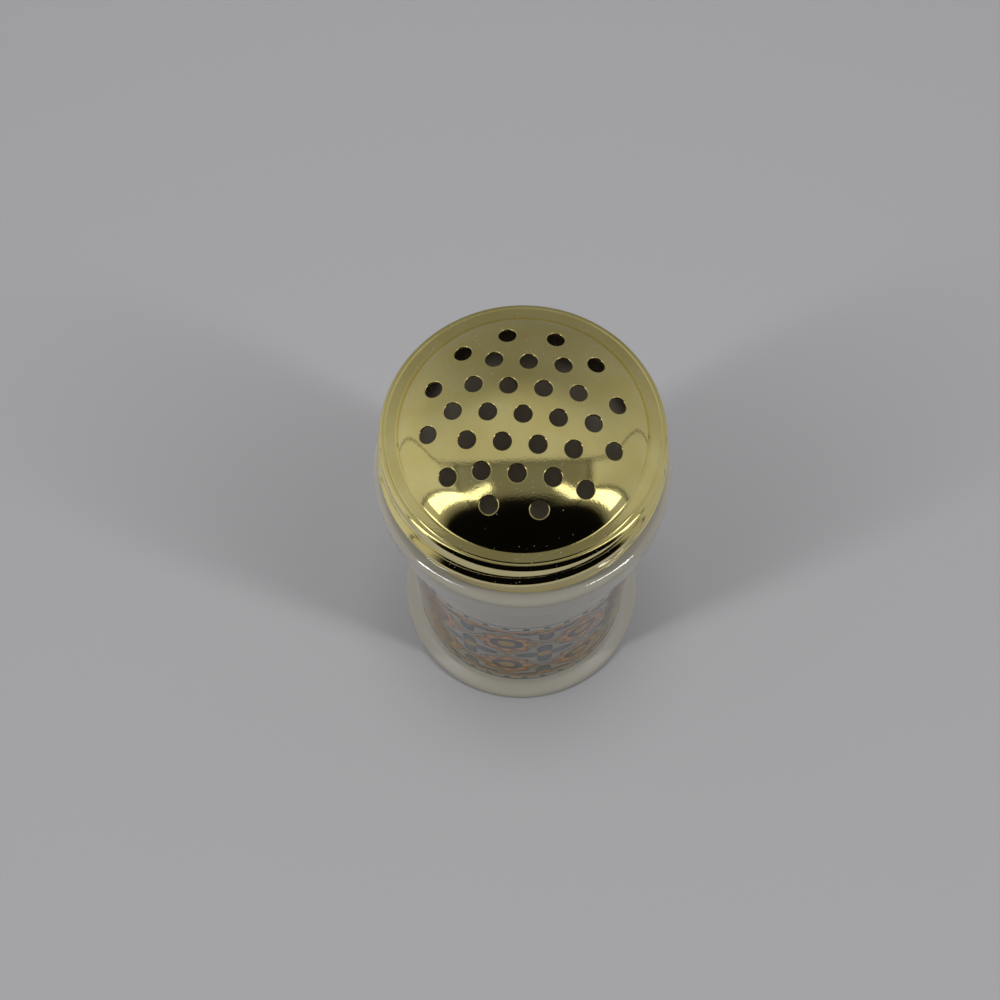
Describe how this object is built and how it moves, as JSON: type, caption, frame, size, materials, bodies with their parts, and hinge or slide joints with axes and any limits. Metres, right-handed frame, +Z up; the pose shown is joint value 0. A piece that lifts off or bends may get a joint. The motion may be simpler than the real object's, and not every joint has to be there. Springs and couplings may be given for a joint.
{
  "type": "parmesan shaker",
  "caption": "Ceramic cheese shaker: a glazed, spool-shaped jar with a printed band, closed by a gold-toned pressed-metal screw lid with a perforated dome and a sealing ring.",
  "frame": {"origin": "middle of the foot, on the surface that the jar stands on", "axes": "+Z up along the axis of the jar and the lid; -Y is the side seen in the picture"},
  "size_m": [0.071, 0.071, 0.1301],
  "materials": {
    "glazed_stoneware": "glossy cream-white glaze with a fired print round the body",
    "gold_toned_sheet": "polished and lacquered, gold-toned pressed sheet",
    "seal_foam": "matt white sealing ring"
  },
  "bodies": {
    "jar": {"jar": "glazed_stoneware"},
    "seal": {"sealing_ring": "seal_foam"},
    "lid": {"lid": "gold_toned_sheet"}
  },
  "joints": [
    {"name": "lid_rise", "type": "slide", "parent": "jar", "child": "seal", "axis": [0, 0, 1], "range_m": [0, 0.0151]},
    {"name": "lid_turn", "type": "hinge", "parent": "seal", "child": "lid", "pos_m": [0, 0, 0.1195], "axis": [0, 0, 1], "range_deg": [0, 300]}
  ],
  "couplings": [
    {"joint": "lid_rise", "follows": "lid_turn", "m_per_rad": 0.0028648}
  ]
}
